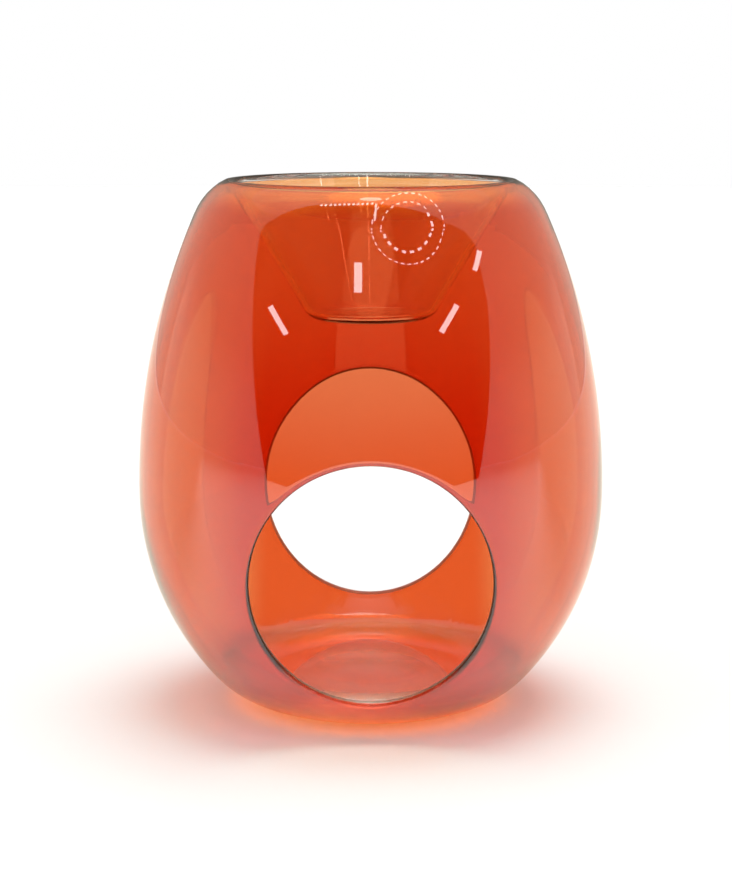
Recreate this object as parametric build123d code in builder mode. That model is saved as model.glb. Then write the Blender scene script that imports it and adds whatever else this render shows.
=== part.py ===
# Wax melt warmer: a blown glass egg that shelters a tealight, and a glass dish that rests in its mouth.
# Millimetres, +Z up, +X right, front opening towards -Y, origin on the table under the middle of the egg.

import os
from math import acos, asin, atan2, cos, degrees, radians, sin, tan

from build123d import *

# Egg, outside
BELLY_R = 60.0
BELLY_Z = 55.8
BASE_R = 24.0
HEEL_R = 23.5
SHOULDER_R = 17.0

# Egg, glass
WALL = 2.4
FLOOR = 8.8
FLOOR_ROUND = 1.5
PONTIL_R = 15.0
PONTIL_DEPTH = 1.2

# Openings in front and behind, cut level through the wall and fire polished
OPENING_W = 58.5
OPENING_H = 62.0
FRONT_SILL_Z = 9.7
REAR_SILL_Z = 16.3
EDGE_ROUND = 0.9

# Crest of the mouth and the ground cone inside it
CREST_Z = 135.2
CREST_R = 36.6
CREST_ROUND = 1.6
CREST_LEAN = 61.2
SEAT_LEAN = 60.0
SEAM_ROUND = 0.3

# Dish
DISH_WALL = 1.6
DISH_DEPTH = 33.9
DISH_CORNER = 3.0
DISH_RIM_ROUND = 2.0
DISH_FIT = 0.1

# Length of a cut past the glass that it goes through
CUT_SPARE = 10.0


def upright_radius(run, rise, small):
    """Radius of an arc that leaves a small arc and ends upright, run out and rise up from its centre."""
    return (run**2 + rise**2 - small**2) / (2 * (run - small))


def level_radius(arc_r, centre_r, centre_z, z):
    """Radius of the profile at a height, on an arc that bulges outwards."""
    return centre_r + (arc_r**2 - (z - centre_z) ** 2) ** 0.5


def cone_point(corner_r, corner_z, along):
    """A point of a cone that leans like the seat, at a length up the cone from a corner."""
    return corner_r + along * cos(lean), corner_z + along * sin(lean)


# Lower half of the egg: a heel arc off the flat base, then a belly arc, upright at the widest height
belly_r = upright_radius(BELLY_R - BASE_R, BELLY_Z - HEEL_R, HEEL_R)
belly_c = BELLY_R - belly_r
heel_turn = degrees(atan2(BASE_R - belly_c, BELLY_Z - HEEL_R))

# Upper half: a long flank arc, a shoulder arc and a small round crest
crest_z = CREST_Z - CREST_ROUND
shoulder_c = CREST_R - (SHOULDER_R - CREST_ROUND) * cos(radians(CREST_LEAN))
shoulder_z = crest_z - (SHOULDER_R - CREST_ROUND) * sin(radians(CREST_LEAN))
flank_r = upright_radius(BELLY_R - shoulder_c, shoulder_z - BELLY_Z, SHOULDER_R)
flank_turn = degrees(asin((shoulder_z - BELLY_Z) / (flank_r - SHOULDER_R)))

# The mouth is ground to a cone from the crest down to the inside of the shoulder
lean = radians(SEAT_LEAN)
in_shoulder_r = SHOULDER_R - WALL
crest_out, crest_up = CREST_R - shoulder_c, CREST_Z - shoulder_z
crest_along = crest_out * cos(lean) + crest_up * sin(lean)
seat = (crest_along**2 + in_shoulder_r**2 - crest_out**2 - crest_up**2) ** 0.5 - crest_along
seat_r, seat_z = cone_point(CREST_R, CREST_Z, seat)
in_seat = atan2(seat_z - shoulder_z, seat_r - shoulder_c)

# Inside of the egg: the same arcs one wall further in, over a thick flat floor with a ground pontil mark below
in_belly_r = belly_r - WALL
corner_turn = degrees(acos((BELLY_Z - FLOOR - FLOOR_ROUND) / (in_belly_r - FLOOR_ROUND)))
pontil_r = (PONTIL_R**2 + PONTIL_DEPTH**2) / (2 * PONTIL_DEPTH)
pontil_turn = degrees(asin(PONTIL_R / pontil_r))

# Rounding of the cut edges, limited by the wall and by the level cut through it at the front sill
heel_top = HEEL_R * (1 - cos(radians(heel_turn)))
if FRONT_SILL_Z < heel_top:
    sill_r = level_radius(HEEL_R, BASE_R, HEEL_R, FRONT_SILL_Z)
else:
    sill_r = level_radius(belly_r, belly_c, BELLY_Z, FRONT_SILL_Z)
sill_cut = sill_r - level_radius(in_belly_r, belly_c, BELLY_Z, FRONT_SILL_Z)
edge_round = min(EDGE_ROUND, 0.4 * WALL, 0.3 * sill_cut)

# Dish: a flat bottom and straight sides, which lean like the cone of the mouth and rest in it
rim_r = CREST_R - DISH_FIT
in_rim_r = rim_r - DISH_WALL / sin(lean)
floor_z = CREST_Z - DISH_DEPTH
bottom_z = floor_z - DISH_WALL
floor_r = in_rim_r - DISH_DEPTH / tan(lean)
bottom_r = rim_r - (CREST_Z - bottom_z) / tan(lean)
out_corner = DISH_CORNER + DISH_WALL
half_turn = tan(lean / 2)

os.makedirs("parts", exist_ok=True)

# Glass body
with BuildPart() as glass_body:
    with BuildSketch(Plane.XZ):
        with BuildLine():
            pontil = JernArc((0, PONTIL_DEPTH), (1, 0), pontil_r, -pontil_turn)
            foot = Line(pontil @ 1, (BASE_R, 0))
            heel = JernArc(foot @ 1, (1, 0), HEEL_R, heel_turn)
            belly = JernArc(heel @ 1, heel % 1, belly_r, 90 - heel_turn)
            flank = JernArc(belly @ 1, (0, 1), flank_r, flank_turn)
            shoulder = JernArc(flank @ 1, flank % 1, SHOULDER_R, CREST_LEAN - flank_turn)
            crest = JernArc(shoulder @ 1, shoulder % 1, CREST_ROUND, 90 - CREST_LEAN)
            cone = Line(crest @ 1, (seat_r, seat_z))
            down = (sin(in_seat), -cos(in_seat))
            in_shoulder = JernArc(cone @ 1, down, in_shoulder_r, flank_turn - degrees(in_seat))
            in_flank = JernArc(in_shoulder @ 1, in_shoulder % 1, flank_r - WALL, -flank_turn)
            in_belly = JernArc(in_flank @ 1, (0, -1), in_belly_r, corner_turn - 90)
            corner = JernArc(in_belly @ 1, in_belly % 1, FLOOR_ROUND, -corner_turn)
            floor = Line(corner @ 1, (0, FLOOR))
            Line(floor @ 1, pontil @ 0)
        make_face()
    revolve(axis=Axis.Z)
    fillet(glass_body.edges().filter_by(GeomType.CIRCLE).sort_by(Axis.Z)[-1], radius=SEAM_ROUND)
    # Front and rear openings
    for sill_z, reach in ((FRONT_SILL_Z, BELLY_R + CUT_SPARE), (REAR_SILL_Z, -BELLY_R - CUT_SPARE)):
        with BuildSketch(Plane.XZ):
            with Locations((0, sill_z + OPENING_H / 2)):
                Ellipse(OPENING_W / 2, OPENING_H / 2)
        extrude(amount=reach, mode=Mode.SUBTRACT)
        cut_edges = glass_body.edges(Select.LAST).filter_by(GeomType.BSPLINE)
        fillet(cut_edges, radius=edge_round)
glass_body.part.label = "glass_body"
export_step(glass_body.part, "parts/glass_body.step")

# Wax dish
with BuildPart() as wax_dish:
    with BuildSketch(Plane.XZ):
        with BuildLine():
            floor = Line((0, floor_z), (floor_r - DISH_CORNER * half_turn, floor_z))
            corner = JernArc(floor @ 1, (1, 0), DISH_CORNER, SEAT_LEAN)
            side = Line(corner @ 1, cone_point(in_rim_r, CREST_Z, -DISH_RIM_ROUND * half_turn))
            rim = JernArc(side @ 1, side % 1, DISH_RIM_ROUND, -SEAT_LEAN)
            top = Line(rim @ 1, (rim_r, CREST_Z))
            cone = Line(top @ 1, cone_point(bottom_r, bottom_z, out_corner * half_turn))
            heel = JernArc(cone @ 1, cone % 1, out_corner, -SEAT_LEAN)
            bottom = Line(heel @ 1, (0, bottom_z))
            Line(bottom @ 1, floor @ 0)
        make_face()
    revolve(axis=Axis.Z)
    fillet(wax_dish.edges().filter_by(GeomType.CIRCLE).sort_by(Axis.Z)[-1], radius=SEAM_ROUND)
wax_dish.part.label = "wax_dish"
export_step(wax_dish.part, "parts/wax_dish.step")
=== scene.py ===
import math
from bisect import bisect_left

import bmesh
import bpy
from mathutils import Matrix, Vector


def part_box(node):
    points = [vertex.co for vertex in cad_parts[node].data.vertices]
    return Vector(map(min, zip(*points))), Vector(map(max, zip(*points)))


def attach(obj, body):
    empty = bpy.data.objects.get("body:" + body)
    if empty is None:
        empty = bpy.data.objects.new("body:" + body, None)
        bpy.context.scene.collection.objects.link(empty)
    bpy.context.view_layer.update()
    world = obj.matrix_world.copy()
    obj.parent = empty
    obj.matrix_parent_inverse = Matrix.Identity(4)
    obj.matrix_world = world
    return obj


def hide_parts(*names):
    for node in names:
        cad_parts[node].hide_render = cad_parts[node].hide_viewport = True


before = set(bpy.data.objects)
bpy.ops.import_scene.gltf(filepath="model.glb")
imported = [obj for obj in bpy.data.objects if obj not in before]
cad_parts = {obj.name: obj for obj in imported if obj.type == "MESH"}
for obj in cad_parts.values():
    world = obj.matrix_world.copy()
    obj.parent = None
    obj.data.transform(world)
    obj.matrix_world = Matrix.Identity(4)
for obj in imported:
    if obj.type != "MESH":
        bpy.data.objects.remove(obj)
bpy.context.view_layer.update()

bl_info = {
    "name": "Glass wax melt warmer",
    "version": (1, 0, 0),
    "blender": (4, 5, 0),
    "location": "3D View > Sidebar > Warmer",
    "description": "Builds a blown glass wax melt warmer with its loose dish on the packed frame",
    "category": "Object",
}

BODY_LOW, BODY_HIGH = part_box("glass_body")

MM = 0.001
QUARTER = math.pi / 2

# Halvings of a range in the search for a height or a mirrored spot
HALVINGS = 50

# Columns round the egg, of which a quarter faces each opening
COLUMNS = 192
PATCH = COLUMNS // 4
FRONT_COLUMN = COLUMNS * 3 // 4
REAR_COLUMN = COLUMNS // 4

# Rows up the wall, and the rows that each opening lies between
ROW_STEP = 2.0 * MM
PATCH_ROWS = (2, 50)

# Rings of faces round an opening, and how they crowd towards its edge
LAYERS = 10
LAYER_EASE = 0.35
LAYER_POWER = 1.5

# Steps of the roll outside an edge, those that the stain covers, and steps of the rounding inside
ROLL = 9
STAINED_ROLL = 6
EASE = 4

# Rise of the wall's normal below which the floor thickens it, and how softly both run together
FACING_DOWN = -0.1
FLOOR_CORNER = 0.5 * MM

# Waves of blown glass: share, waves round the egg, radians up the wall, and times the phase
RIPPLES = ((1.0, 2, 9, 1.0), (0.7, 3, -14, 2.1), (0.5, 5, 23, 3.3))
RIPPLE_PEAK = sum(wave[0] for wave in RIPPLES)

# Phase of the waves outside and inside, and the share of the wall in which they fade at each end
RIPPLE_PHASES = (0.5, 2.0)
RIPPLE_FADE = 0.125

# Rings under the base and on the floor inside, as shares of the radius
PONTIL_RINGS = (1.0, 0.97, 0.85, 0.65, 0.4, 0.15)
FLOOR_RINGS = (0.8, 0.5, 0.2)

# Steps of the mouth: its rounded seam, the ground cone, and the arc under it
SEAM_SHARE = 0.3
CONE_STEPS = 3
UNDER_STEPS = 3

# Rings of the dish, as shares of each straight run, and how many of the cone are ground
DISH_FLOOR_RINGS = (0.1, 0.4, 0.7)
DISH_SIDE_RINGS = (0.25, 0.5, 0.75)
DISH_CONE_RINGS = (0.07, 0.12, 0.25, 0.5, 0.75)
DISH_BOTTOM_RINGS = (0.6, 0.3, 0.1)
DISH_GROUND_RINGS = 2

# Steps of the dish's roundings and of its seam
DISH_STEPS = 10
SEAM_STEPS = 4

# Angle between faces that is left as a crease
CREASE = math.radians(50)

# Finishes of the egg and of the dish, in the order of their material slots
STAINED, INNER, EDGE, GROUND = range(4)
CLEAR, GROUND_DISH = range(2)

# Typical refraction of both glasses
SODA_LIME_IOR = 1.52
BOROSILICATE_IOR = 1.47

# Marks left by making the clear surfaces: their size, depth, and least and most mist.
# The grit of grinding, about 0.1 mm, is drawn at 0.4 mm, because finer grit would not show.
EGG_MARKS = (30 * MM, 0.03 * MM, None)
DISH_MARKS = (24 * MM, 0.1 * MM, None)
CUT_MARKS = (3 * MM, 0.05 * MM, (0.25, 0.45))
GROUND_MARKS = (0.4 * MM, 0.005 * MM, (0.03, 0.12))

# Heights at which the stain changes its tone, up to where it ends
STAIN_HEIGHTS = (0.0, 10 * MM, 62 * MM, 128 * MM, 133.5 * MM)
STAIN_TOP = 136 * MM

# Distances from the middle plane between which the stain thins out to the sides
STAIN_SIDES = (29 * MM, 45 * MM)

# Size of the clouds in the stain, and how far they shift its tone, as a share of its height
STAIN_CLOUD = 18 * MM
STAIN_SHIFT = 0.02

# Heights between which the glass clears from the dull foot up, and the roughness of the foot
DULL_FOOT = (7 * MM, 22 * MM)
FOOT_ROUGHNESS = 0.2

# The picture and the sensor that it was made for
PICTURE = (732, 886)
SENSOR = 36.0

# What the egg mirrors in the picture, in pixels: the mouth of the tent
TENT_MOUTH = (
    (268, 488), (255, 400), (253, 350), (254, 300), (259, 236), (275, 218), (310, 206),
    (366, 203), (446, 222), (476, 248), (487, 300), (489, 400), (478, 488),
)
# Bar lamps by both ends and width
BAR_LAMPS = (
    ((358, 265), (358, 295), 8),
    ((271, 305), (287, 333), 5.5),
    ((457, 305), (441, 333), 5.5),
    ((480, 252), (475, 270), 5),
    ((376, 204), (375, 220), 2),
)
# A row of short lamps by both ends of the first, the step to the next, width and count
LAMP_ROW = ((320, 206), (322.6, 205), (4.6, -0.15), 1.8, 12)
# A ring lamp by its middle, and its beads by radius, width, count, and first and last angle
RING_LAMP = (408, 229)
RING_BEADS = ((25, 2.4, 11, -40, 170), (27, 1.2, 10, 170, 320), (36.5, 1.2, 34, 0, 360))
BEAD_SHARE = 0.5

# Distances from the glass to what it mirrors, and how far before the axis the glass is searched for
MOUTH_REACH = 1.1
LAMP_REACH = 0.7
GLASS_DEPTH = 0.15

# Air between the base and the floor, and columns and rings of the floor and of the card on it
FLOOR_GAP = 0.2 * MM
DISC_COLUMNS = 64
FLOOR_DISC = (1.0, 0.5, 0.2)
CARD_DISC = (0.7, 0.3, 0.1)

# Ranges in which the bounce card fades: towards the rear, under the egg and far off
BOUNCE_REAR = (-65 * MM, 15 * MM)
BOUNCE_UNDER = (30 * MM, 52 * MM)
BOUNCE_FAR = (250 * MM, 1700 * MM)

# Steps up the tent, those of its walls, and columns of each sheet
TENT_STEPS = 24
TENT_WALL_STEPS = 12
TENT_COLUMNS = 48

# Degrees round the tent that its back, the rest of its walls and its roof span
TENT_BACK = (40, 140)
TENT_ROUND = (140, 400)
TENT_ROOF = (0, 360)

# Ranges in which the cloth changes brightness, as shares of the tent's radius
FOOT_FADE = (0.12, 0.32)
ROOF_FADE = (0.75, 0.92)
BEHIND_FADE = (0.05, 0.5)

# Half of the angle in which the edge of the main light fades
LIGHT_SOFT = math.radians(3)

# How often light may pass through glass, and be mirrored, before it is dropped
GLASS_BOUNCES = 24
MIRROR_BOUNCES = 8


def linear(code):
    """A #RRGGBB colour as linear light, with full alpha."""
    parts = [int(code[i : i + 2], 16) / 255 for i in (1, 3, 5)]
    return [p / 12.92 if p <= 0.04045 else ((p + 0.055) / 1.055) ** 2.4 for p in parts] + [1.0]


def length(name, default, description):
    """A length that a user may change."""
    return bpy.props.FloatProperty(
        name=name,
        description=description,
        default=default,
        min=0.0,
        subtype="DISTANCE",
        unit="LENGTH",
        precision=5,
    )


def angle(name, default, description):
    """An angle that a user may change, given in degrees."""
    turn = math.radians(default)
    return bpy.props.FloatProperty(
        name=name, description=description, default=turn, subtype="ANGLE", unit="ROTATION"
    )


def colour(name, code, description):
    """A colour that a user may change, given as #RRGGBB."""
    return bpy.props.FloatVectorProperty(
        name=name,
        description=description,
        default=linear(code),
        size=4,
        min=0.0,
        max=1.0,
        subtype="COLOR",
    )


def level(name, default, description):
    """A brightness that a user may change, where 1 is white in the picture."""
    return bpy.props.FloatProperty(
        name=name, description=description, default=default, min=0.0, max=50.0, subtype="FACTOR"
    )


class WarmerBodySizes(bpy.types.PropertyGroup):
    """Sizes of the blown glass egg."""

    belly_radius: length(
        "Belly radius", (BODY_HIGH[0] - BODY_LOW[0]) / 2, "Outside radius at the widest height"
    )
    belly_height: length("Belly height", 55.8 * MM, "Height of the widest part")
    base_radius: length("Base radius", 24.0 * MM, "Radius of the flat base")
    heel_radius: length("Heel radius", 23.5 * MM, "Rounding between the base and the belly")
    shoulder_radius: length("Shoulder radius", 17.0 * MM, "Rounding below the mouth")
    wall: length("Wall", 2.4 * MM, "Thickness of the blown wall")
    floor: length("Floor", 9.2 * MM, "Thickness of the base")
    pontil_radius: length("Pontil radius", 15.0 * MM, "Radius of the ground hollow under the base")
    pontil_depth: length("Pontil depth", 0.5 * MM, "Depth of the ground hollow under the base")
    opening_width: length("Opening width", 58.5 * MM, "Width of the front and rear openings")
    opening_height: length("Opening height", 62.0 * MM, "Height of the front and rear openings")
    front_sill: length("Front sill", 9.7 * MM, "Height of the lower edge of the front opening")
    rear_sill: length("Rear sill", 16.3 * MM, "Height of the lower edge of the rear opening")
    edge_polish: length("Edge polish", 1.5 * MM, "Width of the polished roll outside an opening")
    edge_ease: length("Edge ease", 0.6 * MM, "Width of the rounding inside an opening")
    crest_height: length("Crest height", BODY_HIGH[2], "Height of the top of the mouth")
    crest_radius: length("Crest radius", 36.6 * MM, "Radius of the top of the mouth")
    crest_round: length("Crest rounding", 1.6 * MM, "Rounding outside the crest")
    crest_lean: angle("Crest lean", 61.2, "Lean of the shoulder where the crest starts")
    seat_lean: angle("Seat lean", 60.0, "Lean of the cone in the mouth and of the dish's sides")
    seam_round: length("Seam rounding", 0.3 * MM, "Rounding of both edges at the seam")
    ripple: length("Ripple", 0.08 * MM, "Depth of the slow waves left by blowing")


class WarmerDishSizes(bpy.types.PropertyGroup):
    """Sizes of the loose dish."""

    wall: length("Dish wall", 1.6 * MM, "Thickness of the dish")
    depth: length("Dish depth", 33.9 * MM, "Depth inside the dish")
    corner: length("Dish corner", 3.0 * MM, "Rounding between the dish's floor and its sides")
    rim_round: length("Rim rounding", 2.0 * MM, "Rounding where the inside turns over to the rim")
    fit: length("Fit", 0.1 * MM, "Gap between the dish and the cone that it rests in")


class WarmerColours(bpy.types.PropertyGroup):
    """Colours of the glass and of the stage."""

    stain: colour("Stain", "#CF4016", "Orange red stain round the shoulder")
    stain_deep: colour("Deep stain", "#C21601", "The stain where it lies thick, front and rear")
    stain_rim: colour("Rim stain", "#FF7A20", "The stain where it fades out at the rim")
    stain_foot: colour("Foot stain", "#FA641E", "The stain where it fades out under the heel")
    stain_side: colour("Side stain", "#D44A14", "The stain where it lies thin, left and right")
    clear: colour("Clear glass", "#FBFAF6", "Uncoloured glass of the dish and the inside")
    # The cut edge's tone is the green of clear glass, darkened further as painted shade of the
    # edges
    edge: colour("Cut edge", "#7C8A80", "Greenish tone of clear glass along the cut edges")
    floor: colour("Floor", "#F6F5F2", "Pale studio floor")
    tent: colour("Tent", "#FFFFFF", "White cloth of the tent, straight on and through the glass")
    tent_front: colour("Tent front", "#FFF4E4", "Cream cloth of the tent, seen only in reflections")
    shade: colour("Shade", "#0A0A0A", "Dark mouth of the tent, seen only in reflections")


class WarmerStageSizes(bpy.types.PropertyGroup):
    """Camera, floor, tent and lights."""

    camera_distance: length("Camera distance", 557.8 * MM, "Distance in front of the axis")
    camera_height: length("Camera height", 164.5 * MM, "Height of the camera above the floor")
    camera_aside: length("Camera aside", 1.2 * MM, "Distance of the camera to the left of the axis")
    camera_pitch: angle("Camera pitch", 9.9, "Downward tilt of the camera")
    lens: bpy.props.FloatProperty(
        name="Lens",
        description="Focal length on a 36 mm sensor",
        default=88.74,
        min=1.0,
        unit="CAMERA",
    )
    floor_radius: length("Floor radius", 3.0, "Radius of the floor")
    tent_radius: length("Tent radius", 2.4, "Radius of the white tent")
    main_light: level("Main light", 7.4, "Brightness of the soft light above")
    main_spread: angle("Main light spread", 18.0, "Half of the angle that the soft light fills")
    main_height: angle("Main light height", 80.0, "Height of the soft light above the horizon")
    main_aside: angle("Main light aside", 150.0, "Turn of the soft light to the camera's right")
    fill: level("Fill", 0.9, "Light from all round")
    tent_foot: level("Tent foot", 1.0, "Brightness of the white tent at the floor and the roof")
    tent_front: level("Tent front", 1.05, "Brightness of the cream tent at the floor")
    tent_side: level("Tent side", 0.75, "Brightness of the tent half way up")
    tent_behind: level("Tent behind", 0.18, "Brightness straight behind the warmer in reflections")
    bounce: level("Bounce card", 1.3, "Brightness of the card on the floor, in reflections")
    lamp: level("Lamp", 9.0, "Brightness of the lamps in the mouth of the tent")


def smooth(x):
    """Eases from 0 to 1."""
    x = min(max(x, 0.0), 1.0)
    return x * x * (3 - 2 * x)


class Outline:
    """A chain of arcs in the plane of radius and height, measured by its length."""

    def __init__(self):
        self.runs = []
        self.ends = []

    def arc(self, centre, radius, start, end):
        """Adds an arc between two angles, in radians from straight out."""
        self.runs.append((Vector(centre), radius, start, end))
        self.ends.append((self.ends[-1] if self.ends else 0.0) + radius * abs(end - start))

    def at(self, distance):
        """Point and outward normal at a distance along the chain."""
        i = min(bisect_left(self.ends, distance), len(self.runs) - 1)
        centre, radius, start, end = self.runs[i]
        done = distance - (self.ends[i - 1] if i else 0.0)
        a = start + math.copysign(done / radius, end - start)
        normal = Vector((math.cos(a), math.sin(a)))
        return centre + radius * normal, normal

    def find(self, height, inset=0.0):
        """Distance along the chain where a line inset into the wall passes a height."""
        low, high = 0.0, self.ends[-1]
        for _ in range(HALVINGS):
            mid = (low + high) / 2
            point, normal = self.at(mid)
            low, high = (mid, high) if point.y - inset * normal.y < height else (low, mid)
        return (low + high) / 2


def upright_radius(run, rise, small):
    """Radius of an arc that leaves a small arc and ends upright, run out and rise up from it."""
    return (run**2 + rise**2 - small**2) / (2 * (run - small))


def shoulder_centre(body):
    """Centre of the shoulder arc, in the plane of radius and height."""
    reach = body.shoulder_radius - body.crest_round
    r = body.crest_radius - reach * math.cos(body.crest_lean)
    return Vector((r, body.crest_height - body.crest_round - reach * math.sin(body.crest_lean)))


def egg_outline(body):
    """Outside of the egg from the edge of its base to the crest of its mouth."""
    heel = Vector((body.base_radius, body.heel_radius))
    drop = body.belly_height - heel.y
    belly_r = upright_radius(body.belly_radius - heel.x, drop, body.heel_radius)
    belly = Vector((body.belly_radius - belly_r, body.belly_height))
    join = math.atan2(heel.y - belly.y, heel.x - belly.x)
    shoulder = shoulder_centre(body)
    rise = shoulder.y - body.belly_height
    flank_r = upright_radius(body.belly_radius - shoulder.x, rise, body.shoulder_radius)
    flank = Vector((body.belly_radius - flank_r, body.belly_height))
    turn = math.asin(rise / (flank_r - body.shoulder_radius))
    crest = Vector((body.crest_radius, body.crest_height - body.crest_round))
    line = Outline()
    line.arc(heel, body.heel_radius, -QUARTER, join)
    line.arc(belly, belly_r, join, 0)
    line.arc(flank, flank_r, 0, turn)
    line.arc(shoulder, body.shoulder_radius, turn, body.crest_lean)
    line.arc(crest, body.crest_round, body.crest_lean, QUARTER)
    return line


def cone_foot(body, start, centre, radius):
    """Where the seat cone, drawn down from a point, meets a circle."""
    up = Vector((math.cos(body.seat_lean), math.sin(body.seat_lean)))
    out = start - centre
    along = out.dot(up)
    return start - (along - math.sqrt(along**2 + radius**2 - out.length_squared)) * up


def arc_points(centre, radius, start, end, count):
    """Points along an arc, first and last included."""
    turns = [start + (end - start) * k / count for k in range(count + 1)]
    return [centre + radius * Vector((math.cos(a), math.sin(a))) for a in turns]


def rounded(before, corner, after, radius, steps):
    """Points of a rounding between two straight runs that meet at a corner."""
    back, on = (before - corner).normalized(), (after - corner).normalized()
    half = back.angle(on) / 2
    centre = corner + (back + on).normalized() * (radius / math.sin(half))
    first, last = [corner + way * (radius / math.tan(half)) - centre for way in (back, on)]
    start, turn = math.atan2(first.y, first.x), -first.angle_signed(last)
    return arc_points(centre, radius, start, start + turn, steps)


def quarter_round(start, corner, end, steps):
    """Points between the ends of a quarter of an ellipse, whose tangents meet at a corner."""
    turns = [QUARTER * k / steps for k in range(1, steps)]
    to_corner, from_end = corner - start, corner - end
    return [start + to_corner * math.sin(a) + from_end * (math.cos(a) - 1) for a in turns]


class EggWall:
    """Points on the outside and inside of the blown wall, by angle and distance up the outline."""

    def __init__(self, body):
        self.body = body
        self.line = egg_outline(body)
        self.top = self.line.ends[-1]

    def thickness(self, flat, normal):
        """Wall thickness, which grows smoothly into the flat floor at the heel."""
        wall = self.body.wall
        down = (self.body.floor - flat.y) / -normal.y if normal.y < FACING_DOWN else 0.0
        gap = (max(down, 0.0) - wall) / 2
        spare = FLOOR_CORNER * smooth(flat.y / self.body.belly_height)
        return wall + gap + math.sqrt(gap**2 + FLOOR_CORNER**2) - spare

    def ripple(self, turn, s, inside):
        """Slow waves of hand blown glass, none at the base and the mouth."""
        up, phase = s / self.top, RIPPLE_PHASES[inside]
        wave = sum(
            share * math.sin(count * turn + rise * up + times * phase)
            for share, count, rise, times in RIPPLES
        )
        fade = smooth(up / RIPPLE_FADE) * smooth((1 - up) / RIPPLE_FADE)
        return self.body.ripple * (wave / RIPPLE_PEAK - 1) * fade

    def point(self, turn, s, inside):
        """A point of the wall, outside or inside."""
        flat, normal = self.line.at(s)
        depth = self.thickness(flat, normal) if inside else 0.0
        flat = flat - (depth - self.ripple(turn, s, inside)) * normal
        return Vector((flat.x * math.cos(turn), flat.x * math.sin(turn), flat.y))


class Shell:
    """Collects rings of points and the faces between them, with the finish of each face."""

    def __init__(self):
        self.mesh = bmesh.new()

    def ring(self, points):
        """Points of one ring, in order."""
        return [self.mesh.verts.new(p) for p in points]

    def circle(self, r, z, columns=COLUMNS):
        """A level ring round the axis."""
        turns = [2 * math.pi * i / columns for i in range(columns)]
        return self.ring([(r * math.cos(t), r * math.sin(t), z) for t in turns])

    def face(self, corners, finish):
        """One face between points."""
        self.mesh.faces.new(corners).material_index = finish

    def skin(self, rings, finish, closed=True):
        """Joins each ring to the next, which has as many points."""
        for low, high in zip(rings, rings[1:]):
            for i in range(len(low) - (not closed)):
                j = (i + 1) % len(low)
                self.face((low[i], low[j], high[j], high[i]), finish)

    def cap(self, ring, tip, finish):
        """Closes a ring with a fan round a point."""
        middle = self.mesh.verts.new(tip)
        for i in range(len(ring)):
            self.face((ring[i], ring[(i + 1) % len(ring)], middle), finish)

    def finish(self, name, materials):
        """Makes the object, with normals facing out and creases only where the glass was ground."""
        bmesh.ops.recalc_face_normals(self.mesh, faces=self.mesh.faces)
        data = bpy.data.meshes.new(name)
        self.mesh.to_mesh(data)
        self.mesh.free()
        for material in materials:
            data.materials.append(material)
        data.polygons.foreach_set("use_smooth", [True] * len(data.polygons))
        data.set_sharp_from_angle(angle=CREASE)
        piece = bpy.data.objects.new(name, data)
        bpy.context.collection.objects.link(piece)
        return piece


def column_turn(i):
    """Angle of a column round the egg."""
    return 2 * math.pi * i / COLUMNS


def add_wall(shell, wall, rows, inside):
    """Points up the outside or the inside of the wall, joined up except round the openings."""
    low, high = PATCH_ROWS
    half = PATCH // 2
    middles = (FRONT_COLUMN, REAR_COLUMN)
    open_columns = {(c + d) % COLUMNS for c in middles for d in range(-half, half)}
    grid = []
    for j, s in enumerate(rows):
        ring = []
        for i in range(COLUMNS):
            within = i in open_columns and (i - 1) % COLUMNS in open_columns
            if low < j < high and within:
                ring.append(None)
            else:
                ring.append(shell.mesh.verts.new(wall.point(column_turn(i), s, inside)))
        grid.append(ring)
    for j, (row, above) in enumerate(zip(grid, grid[1:])):
        for i in range(COLUMNS):
            if low <= j < high and i in open_columns:
                continue
            k = (i + 1) % COLUMNS
            shell.face((row[i], row[k], above[k], above[i]), INNER if inside else STAINED)
    return grid


def opening_rim(wall, column, sill, margin, inset):
    """Gives the place on the wall, as angle and distance up, at an angle round an opening.

    The place lies at a margin outside the opening's edge, on a line inset into the wall.
    """
    half_w, half_h = wall.body.opening_width / 2, wall.body.opening_height / 2
    middle = column_turn(column)

    def place(a):
        out = Vector((math.cos(a) / half_w, math.sin(a) / half_h)).normalized()
        x = half_w * math.cos(a) + margin * out.x
        z = sill + half_h + half_h * math.sin(a) + margin * out.y
        s = wall.line.find(z, inset)
        flat, normal = wall.line.at(s)
        return middle + math.asin(x / (flat.x - normal.x * inset)), s

    return place


def patch_border(column):
    """Rows and columns round the patch of wall that an opening lies in."""
    low, high = PATCH_ROWS
    first, last = column - PATCH // 2, column + PATCH // 2
    border = [(low, i) for i in range(first, last)]
    border += [(j, last) for j in range(low, high)]
    border += [(high, i) for i in range(last, first, -1)]
    border += [(j, first) for j in range(high, low, -1)]
    return border


def border_turns(border, rows, edge, column):
    """Angle round the opening at which each point of the border lies."""
    top, bottom = edge(QUARTER)[1], edge(-QUARTER)[1]
    middle, half_s = (top + bottom) / 2, (top - bottom) / 2
    half_t = edge(0)[0] - column_turn(column)
    turns = []
    for j, i in border:
        across = (column_turn(i) - column_turn(column)) / half_t
        turns.append(math.atan2((rows[j] - middle) / half_s, across))
    return turns


def add_patch(shell, wall, rows, grid, border, starts, inside):
    """Fills the wall between an opening and its border, and gives the ring at the opening."""
    layers = []
    for k in range(LAYERS):
        x = k / LAYERS
        share = LAYER_EASE * smooth(x) + (1 - LAYER_EASE) * x**LAYER_POWER
        points = []
        for (j, i), (turn, s) in zip(border, starts):
            t = turn + share * (column_turn(i) - turn)
            points.append(wall.point(t, s + share * (rows[j] - s), inside))
        layers.append(shell.ring(points))
    layers.append([grid[j][i % COLUMNS] for j, i in border])
    shell.skin(layers, INNER if inside else STAINED)
    return layers[0]


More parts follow.
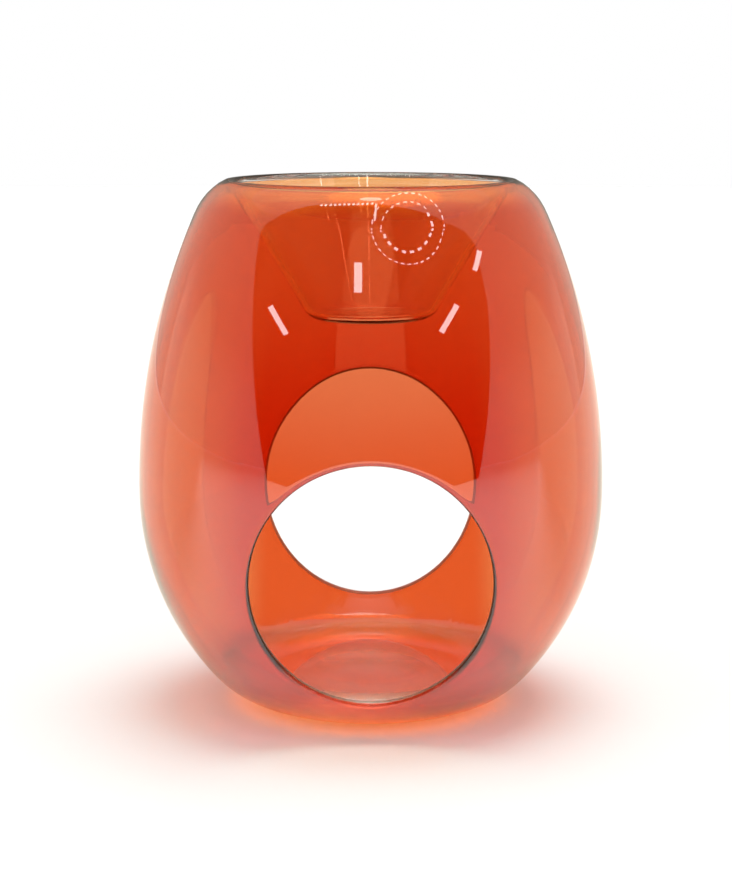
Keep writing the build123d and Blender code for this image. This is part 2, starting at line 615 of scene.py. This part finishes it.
def add_opening(shell, wall, rows, grids, column, sill):
    """Fills a quarter of the wall with rings of faces round an opening, and rolls its edge in."""
    body = wall.body
    border = patch_border(column)
    edge = opening_rim(wall, column, sill, 0.0, 0.0)
    inner_edge = opening_rim(wall, column, sill, 0.0, body.wall)
    turns = border_turns(border, rows, edge, column)
    margins = (body.edge_polish, 0.0), (body.edge_ease, body.wall)
    rims = []
    for inside, (margin, inset) in enumerate(margins):
        place = opening_rim(wall, column, sill, margin, inset)
        starts = [place(a) for a in turns]
        rims.append(add_patch(shell, wall, rows, grids[inside], border, starts, inside))
    outer, inner = rims
    rounds = []
    for k, a in enumerate(turns):
        outside, inside = wall.point(*edge(a), False), wall.point(*inner_edge(a), True)
        tip = inside + body.edge_ease * (outside - inside).normalized()
        points = quarter_round(outer[k].co, outside, tip, ROLL) + [tip]
        rounds.append(points + quarter_round(tip, inside, inner[k].co, EASE))
    rolled = [outer] + [shell.ring(points) for points in zip(*rounds)] + [inner]
    shell.skin(rolled[: STAINED_ROLL + 1], STAINED)
    shell.skin(rolled[STAINED_ROLL:], EDGE)


def add_base(shell, body, outside, inside):
    """Closes the egg below, with a ground pontil mark under it and a flat floor inside."""
    rings = [outside[0], shell.circle((body.base_radius + body.pontil_radius) / 2, 0)]
    for share in PONTIL_RINGS:
        rings.append(shell.circle(body.pontil_radius * share, body.pontil_depth * (1 - share**2)))
    shell.skin(rings, STAINED)
    shell.cap(rings[-1], (0, 0, body.pontil_depth), STAINED)
    floor_z = inside[0][0].co.z
    rings = [inside[0]]
    rings += [shell.circle(body.base_radius * share, floor_z) for share in FLOOR_RINGS]
    shell.skin(rings, INNER)
    shell.cap(rings[-1], (0, 0, floor_z), INNER)


def add_mouth(shell, body, outside, inside):
    """Closes the egg above, with a cone ground from the crest to the inside of the shoulder."""
    crest, shoulder = Vector((body.crest_radius, body.crest_height)), shoulder_centre(body)
    in_shoulder = body.shoulder_radius - body.wall
    foot = cone_foot(body, crest, shoulder, in_shoulder)
    edge = crest + (foot - crest).normalized() * body.seam_round
    cone = [crest.lerp(edge, SEAM_SHARE), edge]
    cone += [edge.lerp(foot, k / CONE_STEPS) for k in range(1, CONE_STEPS + 1)]
    start = math.atan2(foot.y - shoulder.y, foot.x - shoulder.x)
    under = arc_points(shoulder, in_shoulder, start, body.crest_lean, UNDER_STEPS)[1:-1]
    rings = [outside[-1]] + [shell.circle(*p) for p in cone]
    shell.skin(rings, GROUND)
    shell.skin([rings[-1]] + [shell.circle(*p) for p in under] + [inside[-1]], INNER)


def build_body(body):
    """The egg: a blown shell with rolled openings, a mouth ground to a cone and a pontil mark."""
    wall, shell = EggWall(body), Shell()
    top = wall.top - body.seam_round
    count = round(top / ROW_STEP)
    rows = [top * j / count for j in range(count + 1)]
    # Inside, the rows above the openings close up so that the last lies where the shoulder ends
    bend = rows[PATCH_ROWS[1]]
    squeeze = (wall.line.ends[-2] - bend) / (top - bend)
    inner_rows = [bend + (s - bend) * squeeze if s > bend else s for s in rows]
    grids = [add_wall(shell, wall, rows, False), add_wall(shell, wall, inner_rows, True)]
    add_opening(shell, wall, rows, grids, FRONT_COLUMN, body.front_sill)
    add_opening(shell, wall, rows, grids, REAR_COLUMN, body.rear_sill)
    add_base(shell, body, *grids)
    add_mouth(shell, body, *grids)
    return shell


def build_dish(body, dish):
    """The dish: a flat bottom and straight sides, ground at the rim to the cone of the mouth."""
    slope = math.tan(body.seat_lean)
    rim_r = body.crest_radius - dish.fit
    inner_r = rim_r - dish.wall / math.sin(body.seat_lean)
    floor_z = body.crest_height - dish.depth
    bottom_z = floor_z - dish.wall
    # Corners of its section, before they are rounded
    floor = Vector((inner_r - dish.depth / slope, floor_z))
    inner = Vector((inner_r, body.crest_height))
    rim = Vector((rim_r, body.crest_height))
    bottom = Vector((rim_r - (dish.depth + dish.wall) / slope, bottom_z))
    line = [Vector((floor.x * share, floor_z)) for share in DISH_FLOOR_RINGS]
    line += rounded(Vector((0, floor_z)), floor, inner, dish.corner, DISH_STEPS)
    side = rounded(floor, inner, rim, dish.rim_round, DISH_STEPS)
    line += [line[-1].lerp(side[0], share) for share in DISH_SIDE_RINGS] + side
    line += rounded(inner, rim, bottom, body.seam_round, SEAM_STEPS)
    seam = len(line) - 1
    line += [rim.lerp(bottom, share) for share in DISH_CONE_RINGS]
    line += rounded(rim, bottom, Vector((0, bottom_z)), dish.corner + dish.wall, DISH_STEPS)
    line += [Vector((bottom.x * share, bottom_z)) for share in DISH_BOTTOM_RINGS]
    shell = Shell()
    rings = [shell.circle(*p) for p in line]
    ground = seam + DISH_GROUND_RINGS
    shell.cap(rings[0], (0, 0, floor_z), CLEAR)
    shell.skin(rings[: seam + 1], CLEAR)
    shell.skin(rings[seam : ground + 1], GROUND_DISH)
    shell.skin(rings[ground:], CLEAR)
    shell.cap(rings[-1], (0, 0, bottom_z), CLEAR)
    return shell


class Mirror:
    """Finds what the outside of the egg mirrors at a pixel of the picture."""

    def __init__(self, line, stage):
        self.line = line
        self.eye = Vector((-stage.camera_aside, -stage.camera_distance, stage.camera_height))
        self.pitch = stage.camera_pitch
        self.focal = stage.lens / SENSOR * PICTURE[1]

    def spot(self, px, py, reach):
        """The place at a reach from the glass that shows at a pixel."""
        c, k = math.cos(self.pitch), math.sin(self.pitch)
        right, above = px - PICTURE[0] / 2, PICTURE[1] / 2 - py
        ray = Vector((right, c * self.focal + k * above, c * above - k * self.focal)).normalized()
        near, far = self.eye.length - GLASS_DEPTH, self.eye.length
        for _ in range(HALVINGS):
            mid = (near + far) / 2
            place = self.eye + mid * ray
            flat, normal = self.line.at(self.line.find(place.z))
            near, far = (near, mid) if math.hypot(place.x, place.y) < flat.x else (mid, far)
        turn = math.atan2(place.y, place.x)
        out = Vector((normal.x * math.cos(turn), normal.x * math.sin(turn), normal.y))
        return place + reach * (ray - 2 * ray.dot(out) * out)


def mirrored_patch(shell, mirror, pixels, reach):
    """A patch that shows in the glass with its corners at these pixels."""
    corners = shell.ring([mirror.spot(px, py, reach) for px, py in pixels])
    count = len(pixels)
    middle = (sum(px for px, _ in pixels) / count, sum(py for _, py in pixels) / count)
    shell.cap(corners, mirror.spot(*middle, reach), 0)


def bar_corners(start, end, width):
    """Corners of a bar between two pixels."""
    start, end = Vector(start), Vector(end)
    side = (end - start).orthogonal().normalized() * width / 2
    return [start + side, end + side, end - side, start - side]


def build_tent_mouth(body, stage):
    """The dark mouth of the tent, and the lamps round it, where the egg mirrors them."""
    mirror = Mirror(egg_outline(body), stage)
    mouth, lamps = Shell(), Shell()
    mirrored_patch(mouth, mirror, TENT_MOUTH, MOUTH_REACH)
    bars = list(BAR_LAMPS)
    *first, (right, down), width, count = LAMP_ROW
    for k in range(count):
        bars.append((*[(x + right * k, y + down * k) for x, y in first], width))
    cx, cy = RING_LAMP
    for radius, width, beads, start, end in RING_BEADS:
        step = math.radians(end - start) / beads
        for k in range(beads):
            a = math.radians(start) + k * step
            turns = (a, a + BEAD_SHARE * step)
            ends = [(cx + radius * math.cos(t), cy + radius * math.sin(t)) for t in turns]
            bars.append((*ends, width))
    for bar in bars:
        mirrored_patch(lamps, mirror, bar_corners(*bar), LAMP_REACH)
    return mouth, lamps


def add_node(tree, kind, sockets=None, links=None, **options):
    """Adds a node, sets its options and its input sockets, and links inputs from other nodes."""
    node = tree.nodes.new(kind)
    for key, value in options.items():
        setattr(node, key, value)
    for key, value in (sockets or {}).items():
        node.inputs[key].default_value = value
    for key, source in (links or {}).items():
        tree.links.new(source, node.inputs[key])
    return node


def new_material(name):
    """A material with an empty node tree."""
    material = bpy.data.materials.new(name)
    material.use_nodes = True
    material.node_tree.nodes.clear()
    return material, material.node_tree


def stain_tint(tree, place, along, colours):
    """Tone of the stain, which changes up the egg, softly clouded, and thins out to the sides."""
    cloud = add_node(
        tree,
        "ShaderNodeTexNoise",
        {"Scale": 1 / STAIN_CLOUD, "Detail": 2.0, "Roughness": 0.5},
        {"Vector": place},
    )
    height = add_node(tree, "ShaderNodeMapRange", {"From Max": STAIN_TOP}, {"Value": along["Z"]})
    patchy = add_node(
        tree,
        "ShaderNodeMapRange",
        {"To Min": -STAIN_SHIFT, "To Max": STAIN_SHIFT},
        {"Value": cloud.outputs["Fac"]},
    )
    shifted = add_node(
        tree,
        "ShaderNodeMath",
        links={0: height.outputs["Result"], 1: patchy.outputs["Result"]},
        operation="ADD",
    )
    by_height = add_node(tree, "ShaderNodeValToRGB", links={"Fac": shifted.outputs["Value"]})
    ramp = by_height.color_ramp
    deep = colours.stain_deep
    tones = (colours.stain_foot, deep, deep, colours.stain, colours.stain_rim)
    ramp.elements.remove(ramp.elements[1])
    ramp.elements[0].color = tones[0]
    for z, tone in zip(STAIN_HEIGHTS[1:], tones[1:]):
        ramp.elements.new(z / STAIN_TOP).color = tone
    ramp.interpolation = "EASE"
    aside = add_node(tree, "ShaderNodeMath", links={0: along["X"]}, operation="ABSOLUTE")
    thin = add_node(
        tree,
        "ShaderNodeMapRange",
        {"From Min": STAIN_SIDES[0], "From Max": STAIN_SIDES[1]},
        {"Value": aside.outputs["Value"]},
        interpolation_type="SMOOTHSTEP",
    )
    tint = add_node(
        tree,
        "ShaderNodeMix",
        {"B": colours.stain_side},
        {"Factor": thin.outputs["Result"], "A": by_height.outputs["Color"]},
        data_type="RGBA",
    )
    return tint.outputs["Result"]


def stained_glass(colours):
    """Soda-lime glass, blown and stained outside.

    It tints what shines through, deeper in front and behind than at the sides, mirrors white at a
    glance and is dull at the foot, where it is worn by use.
    """
    material, tree = new_material("stained_soda_lime_glass_blown")
    place = add_node(tree, "ShaderNodeTexCoord").outputs["Object"]
    along = add_node(tree, "ShaderNodeSeparateXYZ", links={"Vector": place}).outputs
    tint = stain_tint(tree, place, along, colours)
    low, high = DULL_FOOT
    dull = add_node(
        tree,
        "ShaderNodeMapRange",
        {"From Min": low, "From Max": high, "To Min": FOOT_ROUGHNESS, "To Max": 0.0},
        {"Value": along["Z"]},
        interpolation_type="SMOOTHSTEP",
    )
    glass = add_node(
        tree,
        "ShaderNodeBsdfPrincipled",
        {
            "IOR": SODA_LIME_IOR,
            "Transmission Weight": 1.0,
            "Coat Weight": 0.3,
            "Coat Roughness": 0.0,
            "Coat IOR": SODA_LIME_IOR,
        },
        {"Base Color": tint, "Roughness": dull.outputs["Result"]},
    )
    add_node(tree, "ShaderNodeOutputMaterial", links={"Surface": glass.outputs["BSDF"]})
    return material


def clear_glass(name, tint, ior, marks):
    """Uncoloured glass with the marks of how its surface was made.

    It is clear with bright rims where it was melted smooth, a little misty where it was
    cut and then softened by the flame, and finely misty where it was ground. Along the cut
    edges the given tint is the green of clear glass, darkened beyond it as painted shade.
    """
    grain, depth, mist = marks
    material, tree = new_material(name)
    place = add_node(tree, "ShaderNodeTexCoord")
    waves = add_node(
        tree,
        "ShaderNodeTexNoise",
        {"Scale": 1 / grain, "Detail": 2.0},
        {"Vector": place.outputs["Object"]},
    )
    relief = add_node(
        tree,
        "ShaderNodeBump",
        {"Strength": 1.0, "Distance": depth},
        {"Height": waves.outputs["Fac"]},
    )
    glass = add_node(
        tree,
        "ShaderNodeBsdfPrincipled",
        {"Base Color": tint, "Roughness": 0.0, "IOR": ior, "Transmission Weight": 1.0},
        {"Normal": relief.outputs["Normal"]},
    )
    if mist:
        rough = add_node(
            tree,
            "ShaderNodeMapRange",
            {"To Min": mist[0], "To Max": mist[1]},
            {"Value": waves.outputs["Fac"]},
        )
        tree.links.new(rough.outputs["Result"], glass.inputs["Roughness"])
    add_node(tree, "ShaderNodeOutputMaterial", links={"Surface": glass.outputs["BSDF"]})
    return material


def card_floor(tint):
    """Matt card of the floor: it spreads light evenly, with hardly a sheen."""
    material, tree = new_material("matt_card_floor")
    card = add_node(
        tree,
        "ShaderNodeBsdfPrincipled",
        {"Base Color": tint, "Roughness": 0.9, "Specular IOR Level": 0.2},
    )
    add_node(tree, "ShaderNodeOutputMaterial", links={"Surface": card.outputs["BSDF"]})
    return material


def glowing(name, tint, strength):
    """Felt or lamp diffuser of the stage, even all over, which the glass mirrors."""
    material, tree = new_material(name)
    shine = add_node(tree, "ShaderNodeEmission", {"Color": tint, "Strength": strength})
    add_node(tree, "ShaderNodeOutputMaterial", links={"Surface": shine.outputs["Emission"]})
    return material


def tent_cloth(name, tint, sizes, foot_level, behind_level=None):
    """Cloth of the tent, woven and lit from outside.

    It is bright at the floor and at the roof, dimmer half way up and, if given, straight behind.
    """
    material, tree = new_material(name)
    radius, side_level = sizes.tent_radius, sizes.tent_side
    place = add_node(tree, "ShaderNodeTexCoord")
    split = add_node(tree, "ShaderNodeSeparateXYZ", links={"Vector": place.outputs["Object"]})
    foot, roof = [
        add_node(
            tree,
            "ShaderNodeMapRange",
            {"From Min": start * radius, "From Max": end * radius, "To Min": low, "To Max": high},
            {"Value": split.outputs["Z"]},
            interpolation_type="SMOOTHSTEP",
        ).outputs["Result"]
        for (start, end), low, high in (
            (FOOT_FADE, foot_level, side_level),
            (ROOF_FADE, 0.0, sizes.tent_foot - side_level),
        )
    ]
    total = add_node(tree, "ShaderNodeMath", links={0: foot, 1: roof}, operation="ADD")
    strength = total.outputs["Value"]
    if behind_level is not None:
        start, end = BEHIND_FADE
        across = split.outputs["X"]
        aside = add_node(tree, "ShaderNodeMath", links={0: across}, operation="ABSOLUTE")
        dimmed = add_node(
            tree,
            "ShaderNodeMapRange",
            {"From Min": start * radius, "From Max": end * radius, "To Min": behind_level},
            {"Value": aside.outputs["Value"], "To Max": strength},
            interpolation_type="SMOOTHSTEP",
        )
        strength = dimmed.outputs["Result"]
    shine = add_node(tree, "ShaderNodeEmission", {"Color": tint}, {"Strength": strength})
    add_node(tree, "ShaderNodeOutputMaterial", links={"Surface": shine.outputs["Emission"]})
    return material


def bounce_card(light, tint, strength):
    """White card on the floor: it adds light to the floor that the glass mirrors, and tints it.

    It shines in front of the egg and fades behind it, under it and far off.
    """
    material, tree = new_material("white_bounce_card")
    place = add_node(tree, "ShaderNodeTexCoord")
    split = add_node(tree, "ShaderNodeSeparateXYZ", links={"Vector": place.outputs["Object"]})
    away = add_node(
        tree, "ShaderNodeVectorMath", links={0: place.outputs["Object"]}, operation="LENGTH"
    )
    rear, under, far = [
        add_node(
            tree,
            "ShaderNodeMapRange",
            {"From Min": start, "From Max": end, "To Min": low, "To Max": high},
            {"Value": source},
            interpolation_type="SMOOTHSTEP",
        ).outputs["Result"]
        for source, (start, end), low, high in (
            (split.outputs["Y"], BOUNCE_REAR, strength, 0.0),
            (away.outputs["Value"], BOUNCE_UNDER, 0.0, 1.0),
            (away.outputs["Value"], BOUNCE_FAR, 1.0, 0.0),
        )
    ]
    near = add_node(tree, "ShaderNodeMath", links={0: rear, 1: under}, operation="MULTIPLY")
    total = add_node(
        tree, "ShaderNodeMath", links={0: near.outputs["Value"], 1: far}, operation="MULTIPLY"
    )
    shine = add_node(
        tree, "ShaderNodeEmission", {"Color": light}, {"Strength": total.outputs["Value"]}
    )
    clear = add_node(tree, "ShaderNodeBsdfTransparent", {"Color": tint})
    both = add_node(
        tree, "ShaderNodeAddShader", links={0: shine.outputs["Emission"], 1: clear.outputs["BSDF"]}
    )
    add_node(tree, "ShaderNodeOutputMaterial", links={"Surface": both.outputs["Shader"]})
    return material


def studio_light(sizes):
    """The light on the floor and through the glass: an even fill and one soft light above."""
    world = bpy.data.worlds.new("white_tent")
    world.use_nodes = True
    tree = world.node_tree
    tree.nodes.clear()
    turn, height = sizes.main_aside, sizes.main_height
    flat = math.cos(height)
    aim = (flat * math.sin(turn), -flat * math.cos(turn), math.sin(height))
    direction = add_node(tree, "ShaderNodeTexCoord")
    near = add_node(
        tree,
        "ShaderNodeVectorMath",
        {1: aim},
        {0: direction.outputs["Generated"]},
        operation="DOT_PRODUCT",
    )
    glow = add_node(
        tree,
        "ShaderNodeMapRange",
        {
            "From Min": math.cos(sizes.main_spread + LIGHT_SOFT),
            "From Max": math.cos(sizes.main_spread - LIGHT_SOFT),
            "To Min": sizes.fill,
            "To Max": sizes.main_light,
        },
        {"Value": near.outputs["Value"]},
        interpolation_type="SMOOTHSTEP",
    )
    light = add_node(tree, "ShaderNodeBackground", links={"Strength": glow.outputs["Result"]})
    add_node(tree, "ShaderNodeOutputWorld", links={"Surface": light.outputs["Background"]})
    return world


def show(piece, straight=False, mirrored=False, through=False):
    """Keeps a card or cloth from lighting anything, and sets where it shows."""
    piece.visible_diffuse = piece.visible_shadow = False
    piece.visible_camera = straight
    piece.visible_glossy = mirrored
    piece.visible_transmission = through


def disc(shares, radius, z):
    """A level round sheet with rings at shares of its radius."""
    sheet = Shell()
    rings = [sheet.circle(radius * share, z, DISC_COLUMNS) for share in shares]
    sheet.skin(rings, 0)
    sheet.cap(rings[-1], (0, 0, z), 0)
    return sheet


def lay_floor(colours, sizes):
    """The pale floor, and just above it the card that only mirrors show."""
    floor = disc(FLOOR_DISC, sizes.floor_radius, -FLOOR_GAP)
    floor.finish("floor", [card_floor(colours.floor)])
    card = disc(CARD_DISC, sizes.floor_radius, -FLOOR_GAP / 2)
    bright = bounce_card(colours.floor, colours.tent_front, sizes.bounce)
    show(card.finish("bounce_card", [bright]), mirrored=True)


def hang_tent_mouth(body, colours, sizes):
    """The dark mouth of the tent and its lamps, which only mirrors show."""
    mouth, lamps = build_tent_mouth(body, sizes)
    # Felt swallows light and gives the deep patch in the glass, diffusers give its crisp lights
    dark = glowing("black_felt", colours.shade, 1.0)
    bright = glowing("lamp_diffuser", colours.tent, sizes.lamp)
    show(mouth.finish("tent_mouth", [dark]), mirrored=True)
    show(lamps.finish("lamps", [bright]), mirrored=True)


def hang_tent(colours, sizes):
    """The tent: white where it is seen, cream where the glass mirrors its walls."""
    white, cream = colours.tent, colours.tent_front
    back = tent_cloth("white_tent_cloth", white, sizes, sizes.tent_foot)
    front = tent_cloth("cream_tent_cloth", cream, sizes, sizes.tent_front)
    behind = tent_cloth("cream_tent_cloth_behind", cream, sizes, sizes.tent_side, sizes.tent_behind)
    steps = [QUARTER * k / TENT_STEPS for k in range(TENT_STEPS)]
    wall, roof = steps[: TENT_WALL_STEPS + 1], steps[TENT_WALL_STEPS:]
    # Each sheet's steps, span and cloth, and if it shows straight on, in mirrors, through glass
    sheets = (
        ("tent_back", wall, TENT_BACK, back, True, False, True),
        ("tent_round", wall, TENT_ROUND, back, True, False, False),
        ("tent_roof", roof, TENT_ROOF, back, True, True, False),
        ("tent_front", wall, TENT_ROUND, front, False, True, False),
        ("tent_behind", wall, TENT_BACK, behind, False, True, False),
    )
    for name, part, (start, end), cloth, *shown in sheets:
        span = (end - start) / TENT_COLUMNS
        turns = [math.radians(start + span * k) for k in range(TENT_COLUMNS + 1)]
        sheet, rings = Shell(), []
        for a in part:
            flat, up = sizes.tent_radius * math.cos(a), sizes.tent_radius * math.sin(a)
            rings.append(sheet.ring([(flat * math.cos(t), flat * math.sin(t), up) for t in turns]))
        sheet.skin(rings, 0, closed=False)
        show(sheet.finish(name, [cloth]), *shown)


def set_camera(scene, sizes):
    """The camera at the picture's viewing angle, and how it sees light through many walls."""
    eye = bpy.data.cameras.new("camera")
    eye.lens = sizes.lens
    eye.sensor_width = SENSOR
    camera = bpy.data.objects.new("camera", eye)
    camera.location = (-sizes.camera_aside, -sizes.camera_distance, sizes.camera_height)
    camera.rotation_euler = (QUARTER - sizes.camera_pitch, 0, 0)
    bpy.context.collection.objects.link(camera)
    scene.camera = camera
    scene.view_settings.view_transform = "Standard"
    scene.cycles.max_bounces = scene.cycles.transmission_bounces = GLASS_BOUNCES
    scene.cycles.glossy_bounces = MIRROR_BOUNCES
    scene.cycles.blur_glossy = 0.0


def settings(context):
    """The warmer's property groups: body, dish, colours and stage."""
    scene = context.scene
    return scene.warmer_body, scene.warmer_dish, scene.warmer_colours, scene.warmer_stage


class WARMER_OT_glass_body(bpy.types.Operator):
    """Blow the stained glass egg with its two openings"""

    bl_idname = "warmer.glass_body"
    bl_label = "Glass body"

    def execute(self, context):
        body, _, colours, _ = settings(context)
        clear = colours.clear
        finishes = [
            stained_glass(colours),
            clear_glass("soda_lime_glass_blown", clear, SODA_LIME_IOR, EGG_MARKS),
            # Cut edges: green of clear glass, with a darker tint that paints the shade the edges
            # show
            clear_glass("soda_lime_glass_cut_green_and_painted_shade", colours.edge, SODA_LIME_IOR, CUT_MARKS),
            clear_glass("soda_lime_glass_ground", clear, SODA_LIME_IOR, GROUND_MARKS),
        ]
        piece = build_body(body).finish("blown_egg", finishes)
        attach(piece, "body")
        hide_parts("glass_body")
        return {"FINISHED"}


class WARMER_OT_wax_dish(bpy.types.Operator):
    """Rest the clear glass dish in the mouth of the egg"""

    bl_idname = "warmer.wax_dish"
    bl_label = "Wax dish"

    def execute(self, context):
        body, dish, colours, _ = settings(context)
        clear = colours.clear
        finishes = [
            clear_glass("borosilicate_glass_blown", clear, BOROSILICATE_IOR, DISH_MARKS),
            clear_glass("borosilicate_glass_ground", clear, BOROSILICATE_IOR, GROUND_MARKS),
        ]
        piece = build_dish(body, dish).finish("loose_dish", finishes)
        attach(piece, "dish")
        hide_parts("wax_dish")
        return {"FINISHED"}


class WARMER_OT_stage(bpy.types.Operator):
    """Set the pale floor, the soft light and the camera"""

    bl_idname = "warmer.stage"
    bl_label = "Stage"

    def execute(self, context):
        body, _, colours, sizes = settings(context)
        lay_floor(colours, sizes)
        hang_tent_mouth(body, colours, sizes)
        hang_tent(colours, sizes)
        context.scene.world = studio_light(sizes)
        set_camera(context.scene, sizes)
        return {"FINISHED"}


class WARMER_PT_panel(bpy.types.Panel):
    """Sizes, colours and pieces of the warmer"""

    bl_idname = "WARMER_PT_panel"
    bl_label = "Wax melt warmer"
    bl_space_type = "VIEW_3D"
    bl_region_type = "UI"
    bl_category = "Warmer"

    def draw(self, context):
        for group in settings(context):
            box = self.layout.box()
            for key in group.__annotations__:
                box.prop(group, key)
        for operator in OPERATORS:
            self.layout.operator(operator.bl_idname)


GROUPS = {
    "warmer_body": WarmerBodySizes,
    "warmer_dish": WarmerDishSizes,
    "warmer_colours": WarmerColours,
    "warmer_stage": WarmerStageSizes,
}
OPERATORS = (WARMER_OT_glass_body, WARMER_OT_wax_dish, WARMER_OT_stage)
CLASSES = (*GROUPS.values(), *OPERATORS, WARMER_PT_panel)


def register():
    """Adds the classes, and the property groups to the scene."""
    for cls in CLASSES:
        bpy.utils.register_class(cls)
    for key, group in GROUPS.items():
        setattr(bpy.types.Scene, key, bpy.props.PointerProperty(type=group))


def unregister():
    """Takes away what register adds."""
    for key in GROUPS:
        delattr(bpy.types.Scene, key)
    for cls in reversed(CLASSES):
        bpy.utils.unregister_class(cls)


def main():
    """Builds the pieces and the stage."""
    register()
    bpy.ops.warmer.glass_body()
    bpy.ops.warmer.wax_dish()
    bpy.ops.warmer.stage()


if __name__ == "__main__":
    main()
